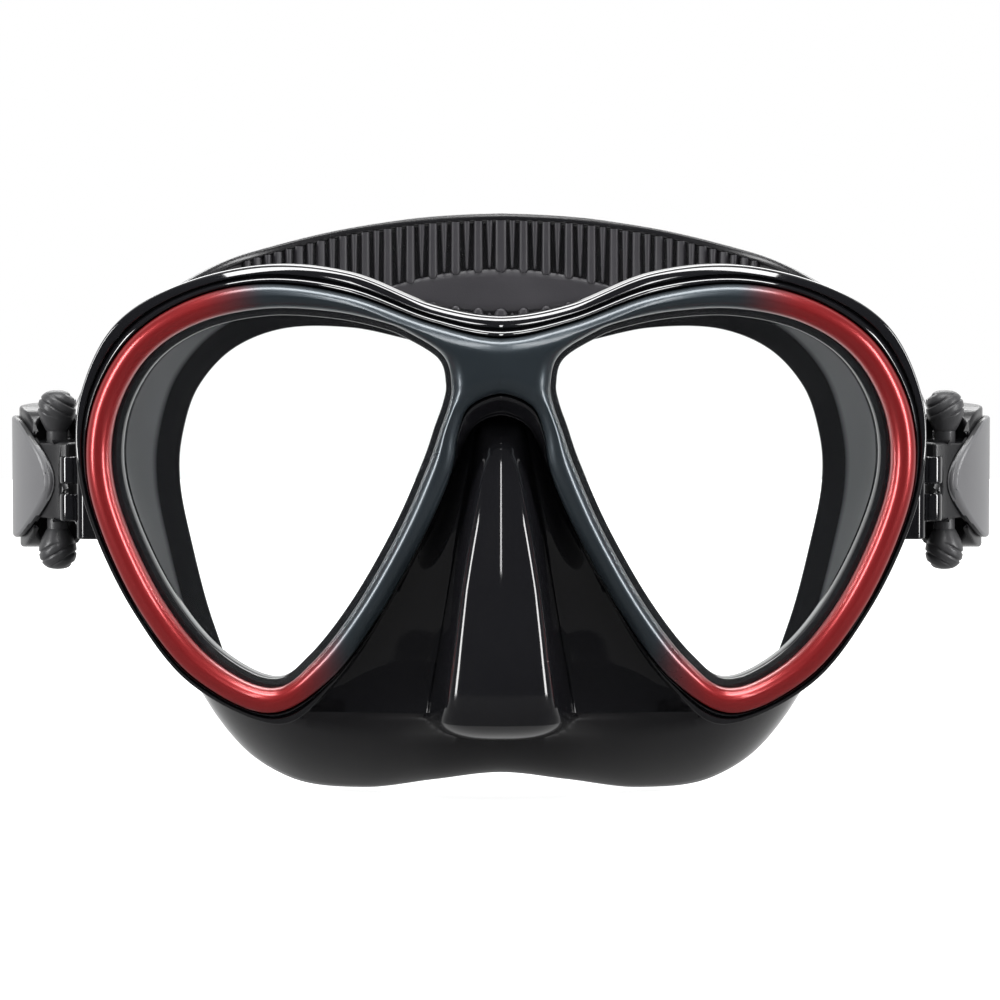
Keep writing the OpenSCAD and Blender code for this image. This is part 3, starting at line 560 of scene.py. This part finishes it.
# The rows over which the section turns into the one over the nose
nose_start, nose_span = 13, 3
front_sheet, tier_sheet, back_sheet = [], [], []
for i in range(stations + 1):
    i %= stations
    front_sheet.append([swept(mouth_ring[i], frame_back), swept(mouth_ring[i], ledge_front),
                        swept(seat_ring[i], ledge_front), swept(seat_ring[i], lens_front),
                        swept(bezel_line[i], lens_front)])
    back_sheet.append([swept(mouth_ring[i], frame_back), swept(bezel_line[i], frame_back)])
for i in range(arch + 1):
    bezel_edge, edge, out = bezel_line[i], frame_line[i], frame_out[i]
    # The outer tier leans back most over the brow
    brow = 1 if i == 0 else max(0, out[1]) ** 3 * (i < arch)
    nose = ease((i / fine - nose_start) / nose_span)
    way = edge - bezel_edge
    step = bezel_edge + way * (step_w / max(np.linalg.norm(way), 1))
    tiers = [swept(bezel_edge, lens_front)]
    for share, depth, plain in tier_profile:
        mild = depth
        if share >= groove_end:
            mild = tier_top + (depth - tier_top) * (0.25 + 0.75 * brow)
        tiers.append(swept(step + (edge - step) * share, mild + (plain - mild) * nose))
    end, back_edge = tiers[-1], swept(edge, frame_back)
    tier_sheet.append([*tiers, *(end + (back_edge - end) * t for t in (0.25, 0.5, 0.75, 1)),
                       swept(bezel_edge, frame_back)])
mask_frame = closed_body("mask_frame", [front_sheet, tier_sheet, back_sheet])
rounded(mask_frame, 0.00015, 40, 2)
frame_black = moulded("frame_black", (0.006, 0.006, 0.007), (0.004, 0.004, 0.005), (0.04, 0.08),
                      300, 0.000006, coat=0.4, coat_rough=0.03)
mask_frame.data.materials.append(frame_black)
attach(mask_frame, "mask")
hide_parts("main_frame")

# ---- Bezel ----
# A painted plastic trim that snaps over the skirt and both lenses, with a rounded face that falls
# away to a thin edge beside the glass. Its satin metallic paint fades from gunmetal at the bridge
# to red at the temples.
bezel_inner = grown(view_ring, 1.5)
# Distance from an edge, and depth behind the crest that the edge takes off there
inner_edge = np.array([
    [0, 3.3], [0.08, 2.75], [0.25, 2.2], [0.5, 1.75], [0.85, 1.32], [1.3, 0.9], [1.8, 0.56],
    [2.4, 0.28], [3.0, 0.11], [3.6, 0.03], [4.2, 0]])
outer_edge = np.array([
    [0, 2.4], [0.08, 2.0], [0.25, 1.62], [0.5, 1.28], [0.9, 0.9], [1.4, 0.56], [2.0, 0.28],
    [2.7, 0.1], [3.5, 0.02], [4.3, 0]])
inner_edge = curve(inner_edge, 4, inner_edge[0], inner_edge[-1])
outer_edge = curve(outer_edge, 4, outer_edge[0], outer_edge[-1])


def edge_distance(p, i):
    """Distance from the bezel's outer edge near a station, leaving out the middle line."""
    near = [k for k in range(arch)
            if abs((k - i + stations * 1.5) % stations - stations / 2) < stations / 3]
    a, b = bezel_line[near], bezel_line[np.array(near) + 1]
    t = np.clip(((p - a) * (b - a)).sum(1) / ((b - a) ** 2).sum(1), 0, 1)
    return np.linalg.norm(p - (a + (b - a) * t[:, None]), axis=1).min()


bezel_sheet, bezel_side, bezel_back = [], [], []
inner_marks = np.array([0, 0.04, 0.1, 0.18, 0.28, 0.4, 0.6, 0.8, 1, 1.2, 1.4, 1.6, 1.8, 2, 2.2, 2.4,
                        2.6, 2.8, 3, 3.2])
outer_marks = np.array([2.6, 2.2, 1.8, 1.4, 1.1, 0.8, 0.55, 0.35, 0.2, 0.1, 0.04, 0])
full_w, least_edge = 6, 0.2
for i in range(stations + 1):
    i %= stations
    a, b = bezel_inner[i], bezel_line[i]
    # Marks stay at fixed distances from both edges however wide the bridge grows
    width = np.linalg.norm(b - a)
    squeeze = min(1, width / full_w)
    first, last = inner_marks * squeeze, width - outer_marks * squeeze
    marks = [*first, *np.linspace(first[-1], last[0], 10)[1:-1], *last]
    row = [swept(a, lens_front)]
    for d in marks:
        p = a + (b - a) * d / width
        low = np.interp(d / squeeze, *inner_edge.T) + np.interp(edge_distance(p, i), *outer_edge.T)
        row.append(swept(p, min(low, lens_front - least_edge)))
    bezel_sheet.append(row)
    if i <= arch and len(bezel_side) <= arch:
        bezel_side.append([row[-1], swept(b, lens_front)])
    bezel_back.append([swept(b, lens_front), swept(a, lens_front)])
front_trim = closed_body("front_trim", [bezel_sheet, bezel_side, bezel_back])
smoothed(front_trim, 50)

bezel_paint = moulded("bezel_paint", (0.034, 0.045, 0.054), (0.024, 0.032, 0.039), (0.27, 0.33),
                      5200, 0.000006, metallic=0.6, coat=0.5, coat_rough=0.16)
tree = bezel_paint.node_tree
gunmetal = tree.nodes["Mix"].outputs["Result"]
place = tree.nodes["Texture Coordinate"].outputs["Object"]
# The fade runs along a line that leans out towards the top
parts = added(tree, "ShaderNodeSeparateXYZ", {0: place}).outputs
lean = math_of(tree, "MULTIPLY_ADD", parts["Z"], -0.24, math_of(tree, "ABSOLUTE", parts["X"]))
fade = smooth_step(tree, lean, 0.037, 0.052)
flakes = added(tree, "ShaderNodeTexVoronoi", {"Vector": place, "Scale": 7000}).outputs["Distance"]
red = mixed(tree, flakes, (0.23, 0.010, 0.012, 1), (0.33, 0.018, 0.020, 1))
feed(tree, tree.nodes["Principled BSDF"], {"Base Color": mixed(tree, fade, gunmetal, red)})
front_trim.data.materials.append(bezel_paint)
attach(front_trim, "mask")
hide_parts("front_bezel")


# ---- Brackets and pivot pins ----
# Glossy black plastic lugs fused to the back of the frame. Each holds the buckle between its cheek
# and the pin, a turned steel pin that is pressed through the lug from inside.
def worked_copy(node, name, edge, finish, body, segments=2):
    """A piece in the shape of a node, with its flat faces cleaned and its edges rounded."""
    piece = bpy.data.objects.new(name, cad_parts[node].data.copy())
    bpy.context.scene.collection.objects.link(piece)
    alone(piece)
    bpy.ops.mesh.customdata_custom_splitnormals_clear()
    bpy.ops.object.mode_set(mode="EDIT")
    bpy.ops.mesh.select_all(action="SELECT")
    bpy.ops.mesh.remove_doubles(threshold=2e-6)
    bpy.ops.mesh.dissolve_limited(angle_limit=math.radians(0.5))
    bpy.ops.mesh.select_all(action="SELECT")
    bpy.ops.mesh.normals_make_consistent(inside=False)
    bpy.ops.object.mode_set(mode="OBJECT")
    rounded(piece, edge, 30, segments)
    flat = piece.modifiers.new("flat", "WEIGHTED_NORMAL")
    flat.keep_sharp = True
    bpy.ops.object.modifier_apply(modifier="flat")
    piece.data.materials.clear()
    piece.data.materials.append(finish)
    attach(piece, body)
    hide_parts(node)
    return piece


steel = moulded("pin_steel", (0.62, 0.61, 0.6), (0.5, 0.5, 0.5), (0.2, 0.3), 2500, 0.000008,
                metallic=1)
for side in ("left", "right"):
    worked_copy(f"bracket_{side}", f"buckle_lug_{side}", 0.0004, frame_black, "mask")
    worked_copy(f"pivot_pin_{side}", f"turned_pin_{side}", 0.0003, steel, "mask")

# ---- Buckles ----
# A nylon housing curves round the temple, coloured far darker than the raised grey rail on its face
# as painted shade for the hollow behind the rail. A grey leaf-shaped cover is snapped into its face
# inside the rail, and two arms at its back hold the strap's roller.
pivot = np.array([81.5, 2, -3.5])
buckle_r = 24.5
bow = np.array([16.5 - buckle_r, 14])
# Painted shade: the housing's near-black colour stands in for the shade in its hollow behind the
# lighter rail
buckle_grey = moulded("buckle_grey", (0.012, 0.012, 0.013), (0.008, 0.008, 0.009), (0.3, 0.38),
                      3200, 0.00002)
cover_grey = moulded("cover_grey", (0.14, 0.14, 0.145), (0.115, 0.115, 0.12), (0.32, 0.4),
                     3600, 0.00002)
rail_grey = moulded("rail_grey", (0.07, 0.07, 0.073), (0.055, 0.055, 0.058), (0.3, 0.38),
                    3400, 0.00002)
leaf_rows = np.array([[-5, 0], [-4, 4], [-1, 8], [3.5, 11.2], [8, 12.2], [14, 12.2], [20, 11.6],
                      [26, 10]])
leaf_line = curve(leaf_rows, 8, (-4, -4), (32, 8))
leaf_line[:, 0] = buckle_r * np.arcsin((leaf_line[:, 0] - bow[1]) / buckle_r)
leaf_line = np.array([*leaf_line[::-1], *(leaf_line[1:] * (1, -1))])
leaf_way = np.gradient(leaf_line, axis=0)
leaf_way /= np.linalg.norm(leaf_way, axis=1)[:, None]
leaf_gap = 0.5
# Place round the bow and width of the rail there, then share of the width and rise over the face
rail_place, rail_width = [-22, -16, -8, 2, 14], [2.2, 2.3, 2.4, 2.4, 3.2]
rail_section = ((0, -0.6), (0, 0.45), (0.06, 0.75), (0.2, 0.95), (0.4, 1.0), (0.6, 0.94),
                (0.8, 0.7), (0.93, 0.35), (1, -0.1), (1, -0.6))
rail_sheet = []
for spot, way in zip(leaf_line, leaf_way):
    wide = np.interp(spot[0], rail_place, rail_width)
    row = []
    for t, rise in rail_section:
        around, z = spot + np.array([way[1], -way[0]]) * -(leaf_gap + t * wide)
        r, a = buckle_r + rise, around / buckle_r
        row.append(pivot + (bow[0] + r * math.cos(a), bow[1] + r * math.sin(a), z))
    rail_sheet.append(row)


def end_cap(row):
    """A sheet that closes an end, from a row of points to their middle."""
    return [row, [np.mean(row, axis=0)] * len(row)]


def foot_of(rows):
    """A sheet between the first and last points of each row."""
    return [[row[0], row[-1]] for row in rows]


rail_sheets = [rail_sheet, foot_of(rail_sheet), end_cap(rail_sheet[0]), end_cap(rail_sheet[-1])]
for side, half in (("left", -1), ("right", 1)):
    worked_copy(f"buckle_body_{side}", f"buckle_housing_{side}", 0.0006, buckle_grey, "headband",
                3)
    rail = closed_body(f"buckle_rail_{side}", rail_sheets, halves=(half,))
    rounded(rail, 0.0002, 50)
    rail.data.materials.append(rail_grey)
    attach(rail, "headband")
    leaf = worked_copy(f"buckle_cover_{side}", f"buckle_leaf_{side}", 0.0006, cover_grey,
                       "headband", 4)
    # The leaf's side faces take the housing's near-black colour: painted shade in the groove
    # between the leaf and the rail
    leaf.data.materials.append(buckle_grey)
    middle = (pivot + (*bow, 0)) * (half, 1, 1) / 1000
    for face in leaf.data.polygons:
        reach = face.center - Vector(middle)
        reach.z = 0
        face.material_index = int(abs(face.normal.dot(reach.normalized())) < 0.5)

# ---- Release buttons and their springs ----
# Four charcoal nylon buttons, domed, with slanted grip grooves and a narrower foot. Each slides on
# its stem into the housing against a small coil spring of steel wire. Pressed in pairs, they let
# the strap run.
button_at, stem_from, cap_from, stem_r, stem_lap = 7.7, 4.2, 9.6, 2.1, 0.4
cap_r = 3.8
cap_rows = np.array([
    [1.9, 0], [2.3, 0.5], [2.9, 1.6], [3.5, 2.9], [cap_r, 4.2], [3.78, 5.4], [3.5, 6.5],
    [2.95, 7.4], [2.1, 8.05], [1.1, 8.35], [0, 8.4]])
cap_line = np.array([[0, 0], *curve(cap_rows, 6, (1.6, -0.4), (-1.1, 8.35))])
stem_rows = ((0, stem_from), (stem_r - 0.1, stem_from), (stem_r, stem_from + 0.1),
             (stem_r, cap_from + stem_lap), (0, cap_from + stem_lap))
groove_slant, groove_pitch, groove_half, groove_depth, groove_drop = 0.5, 1.75, 0.34, 0.34, 0.1
button_grey = moulded("button_grey", (0.042, 0.042, 0.044), (0.030, 0.030, 0.032), (0.36, 0.46),
                      3000, 0.00002)
for side, half in (("left", -1), ("right", 1)):
    for level, way in (("upper", 1), ("lower", -1)):
        cap_sheet = []
        for r, z in cap_line:
            row = []
            for a in np.linspace(0, 2 * math.pi, 97):
                x, y = r * math.cos(a), r * math.sin(a)
                along = (z * math.cos(groove_slant) - x * math.sin(groove_slant)) / groove_pitch
                cut = ease(1 - abs(along % 1 - 0.5) * groove_pitch / groove_half)
                # The grooves run out above the foot and below the top
                cut = cut * ease((z - 2.6) / 1) * ease((8.1 - z) / 0.8)
                shrink = 1 - groove_depth * cut / cap_r
                up = way * (cap_from + z - groove_drop * cut)
                row.append(pivot + (button_at + x * shrink, y * shrink, up))
            cap_sheet.append(row)
        stem_sheet = [[pivot + (button_at + r * math.cos(a), r * math.sin(a), way * z)
                       for a in np.linspace(0, 2 * math.pi, 49)] for r, z in stem_rows]
        knob = closed_body(f"grip_button_{level}_{side}", [cap_sheet, stem_sheet], halves=(half,))
        smoothed(knob, 50)
        knob.data.materials.append(button_grey)
        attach(knob, f"button_{level}_{side}")
        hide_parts(f"release_button_{level}_{side}")
        finished(f"button_spring_{level}_{side}", steel)

# ---- Strap rollers ----
# A black acetal roller turns on a steel pin between the two arms of each buckle.
roller_black = moulded("roller_black", (0.03, 0.03, 0.032), (0.02, 0.02, 0.022), (0.25, 0.35),
                       2600, 0.00001)
for side in ("left", "right"):
    finished(f"strap_roller_{side}", roller_black)
    finished(f"roller_pin_{side}", steel)

# ---- Strap ----
# One black silicone moulding: a flat tail on each side, a bend round each roller, and a wide panel
# behind the head. A rim runs round the panel's inner face, with thin ridges and broader fingers
# that end on a smooth pad.
strap_t, strap_w, panel_h, strap_rise, loop_reach = 1.8, 18.6, 29, 37.5, 130
# From the pivot outwards and backwards: the tail and the run behind the roller; then the loop's
# back, as shares of the pivots' half span and of the loop's reach
tail_rows = np.array([[9.6, 56], [10.25, 46], [10.6, 38], [11, 31], [11.8, 26], [13.7, 22]])
run_rows = np.array([[9.2, 20], [8.5, 30], [8, 48], [5.5, 70]])
loop_rows = np.array([[0.957, 0.73], [0.736, 0.892], [0.405, 0.977], [0, 1]])
start = np.array([pivot[0], 0])
roller_r, wrap_r = 20.5, 2.8
roller_way = math.radians(8)
wrap_at = start + (bow + roller_r * np.array([math.cos(roller_way), math.sin(roller_way)]))
tail = [start + p for p in tail_rows] + [wrap_at + (wrap_r, 0)]
turn = [wrap_at + wrap_r * np.array([math.cos(a), -math.sin(a)])
        for a in np.radians(np.arange(12, 169, 12))]
back = [p * (pivot[0], loop_reach) for p in loop_rows]
loop = [wrap_at - (wrap_r, 0)] + [start + p for p in run_rows] + back
tail_line = curve(tail, 6, 2 * tail[0] - tail[1], wrap_at + (wrap_r, -5))
loop_line = curve(loop, 16, wrap_at - (wrap_r, 5), flipped(back[2]))
half_strap = np.array([*tail_line, *turn, *loop_line])
# Share of the way back, and share of the rise towards the panel
rise_rows = np.array([[-0.1, 0], [0.23, 0], [0.38, 0.07], [0.55, 0.27], [0.73, 0.58], [0.85, 0.8],
                      [0.92, 0.9], [1.2, 1]])
rise_curve = curve(rise_rows, 6, rise_rows[0], rise_rows[-1])
# The panel seen from the front: share of the pivots' half span, share of the rise, share of the
# panel's extra width; its last rows open wide over the strap's sides
panel_rows = np.array([
    [0, 1, 1], [0.207, 1, 0.85], [0.329, 1.019, 0.46], [0.442, 1.027, 0.12], [0.548, 0.988, 0.03],
    [0.647, 0.936, 0], [0.736, 0.87, 0.08], [0.813, 0.803, 0.15], [0.9, 0.72, 1.5], [1, 0.6, 5],
    [1.3, 0.6, 5]])
panel_curve = curve(panel_rows, 6, flipped(panel_rows[1]), panel_rows[-1])
# The strap as seen from the side opens wide behind the head, where the panel takes over
open_from, open_rate = 0.86, 4
panel_edges = []
for p in half_strap:
    sideways, backward = p / (pivot[0], loop_reach)
    side_level = strap_rise * np.interp(backward, *rise_curve.T)
    side_half = strap_w / 2 + open_rate * panel_h * max(backward - open_from, 0)
    rise, extra = (np.interp(sideways, panel_curve[:, 0], panel_curve[:, k]) for k in (1, 2))
    level = strap_rise * rise
    half = (strap_w + (panel_h - strap_w) * extra) / 2
    panel_edges.append([max(side_level - side_half, level - half),
                        min(side_level + side_half, level + half)])
panel_edges = np.array(panel_edges)
# A few passes soften the corners where the two forms meet
for _ in range(6):
    panel_edges[1:-1] = (panel_edges[:-2] + 2 * panel_edges[1:-1] + panel_edges[2:]) / 4
along = np.gradient(half_strap, axis=0)
along[-1] = (-1, 0)
along /= np.linalg.norm(along, axis=1)[:, None]
side_way = np.column_stack([-along[:, 1], along[:, 0]])
# Distance from the strap's edge, and share of its thickness on the inner face of the panel
rim_section = [(0.04, 0.4), (0.15, 0.75), (0.4, 1), (1.3, 1), (1.55, 0.9), (1.75, 0.6),
               (1.95, 0.35), (2.3, 0.25)]
outer_corner = [(0.15, -0.75), (0.45, -1)]
corner_w, rim_w, floor_share = 0.3, 1.3, 0.25


def rim(edge, inwards, panel):
    """The inner face from an edge of the strap inwards: its rim stays where the panel sinks."""
    return [(edge + inwards * d, 1 - panel * (1 - t) * (d > rim_w) if d > corner_w else t)
            for d, t in rim_section]


band_sheet = []
for p, n, (low, top) in zip(half_strap, side_way, panel_edges):
    panel = ease((p[1] / loop_reach - 0.5) / 0.12)
    middle = (low + top) / 2
    outer = [(low + d, t) for d, t in outer_corner] + [(middle, -1)]
    outer += [(top - d, t) for d, t in outer_corner[::-1]]
    section = [(top, 0), *rim(top, -1, panel), (middle, 1 - (1 - floor_share) * panel),
               *rim(low, 1, panel)[::-1], (low, 0), *outer, (top, 0)]
    band_sheet.append([np.array([*(p + n * t * strap_t / 2), z]) + (0, pivot[1], pivot[2])
                       for z, t in section])
head_strap = closed_body("head_strap", [band_sheet, end_cap(band_sheet[0])])
smoothed(head_strap, 45)

# Places on the panel, by the way along it from the middle
floor_line = (half_strap + side_way * (strap_t / 8))[::-1]
lengths = np.array([0, *np.cumsum(np.linalg.norm(np.diff(floor_line, axis=0), axis=1))])
inward, panel_edges = side_way[::-1], panel_edges[::-1]
sunk = 0.3


def on_panel(way, z, lift):
    """A point over the panel's floor."""
    at = [np.interp(abs(way), lengths, column) for column in (*floor_line.T, *inward.T)]
    x, y = at[0] + lift * at[2], at[1] + lift * at[3]
    return np.array([math.copysign(x, way) if way else 0, y, z]) + (0, pivot[1], pivot[2])


def bar(way, start, tip, widths, height):
    """A bar on the panel's floor, from its root to its rounded tip."""
    rows = []
    for t in [*np.linspace(0, 0.85, 10), 0.9, 0.94, 0.965, 0.985, 1]:
        half = np.interp(t, [0, 1], widths) / 2
        # The tip is rounded, and slopes down a little
        left = abs(tip - start) * (1 - t)
        round_off = math.sqrt(max(1 - max(1 - left / half, 0) ** 2, 0.03))
        full = sunk + height * min(1, 0.4 + left / 0.7)
        z = start + (tip - start) * t
        rows.append([on_panel(way + s * half * round_off, z, -sunk + full * (1 - abs(s) ** 5))
                     for s in np.linspace(-1, 1, 9)])
    return [rows, foot_of(rows), end_cap(rows[0]), end_cap(rows[-1])]


pad_w, pad_h, pad_lift, pad_level = 56, 10, 0.95, strap_rise - 3
pad_arc = (pad_w ** 2 / pad_h + pad_h) / 4


def pad_half(x):
    """Half height of the lens-shaped pad at a distance from its middle."""
    return math.sqrt(pad_arc ** 2 - x * x) - pad_arc + pad_h / 2


# Ridges stand between the fingers, one every half pitch, and stop just short of the pad
pitch, bars_beside = 5.15, 23
finger_widths, middle_widths, ridge_widths = (2.3, 2.5), (3.2, 3.2), (1.7, 0.6)
root_in, tip_in = 1.6, 1.4
bars = []
for i in range(-bars_beside, bars_beside + 1):
    way = i * pitch / 2
    low, top = (np.interp(abs(way), lengths, column) for column in panel_edges.T)
    reach = pad_half(np.interp(abs(way), lengths, floor_line[:, 0]))
    if i % 2:
        widths, height, lap = ridge_widths, 1.3, -0.1
    else:
        widths, height, lap = finger_widths if i else middle_widths, 0.95, 1
    if reach > 0.5:
        bars += bar(way, top - root_in, pad_level + reach - lap, widths, height)
        bars += bar(way, low + root_in, pad_level - reach + lap, widths, height)
    else:
        # Beside the pad a bar crosses the whole panel
        bars += bar(way, top - root_in, low + tip_in, widths, height)
right = (0, 0.3, 0.6, 0.8, 0.9, 0.95, 0.985, 1)
across_pad = [-s for s in right[:0:-1]] + [*right]
pad_sheet = []
for t in np.sin(np.linspace(-math.pi / 2, math.pi / 2, 49)):
    way = t * pad_w / 2
    pad_sheet.append([on_panel(way, pad_level + s * pad_half(way),
                               -sunk + pad_lift * (1 - abs(s) ** 10)) for s in across_pad])
ribs = closed_body("strap_ribs", [*bars, pad_sheet, foot_of(pad_sheet)], halves=(1,))
smoothed(ribs, 60)
# The ribs and pad are matte where the band is glossy; their colour is also three times lighter than
# the band's, painted shade that keeps the gaps between them dark
strap_silicone = moulded("strap_silicone", (0.010, 0.0095, 0.011), (0.006, 0.0058, 0.0065),
                         (0.2, 0.3), 1800, 0.00002)
rib_silicone = moulded("rib_silicone", (0.030, 0.028, 0.033), (0.020, 0.019, 0.022),
                       (0.42, 0.55), 2600, 0.00003)
for piece, finish in ((head_strap, strap_silicone), (ribs, rib_silicone)):
    piece.data.materials.append(finish)
    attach(piece, "headband")
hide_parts("strap")
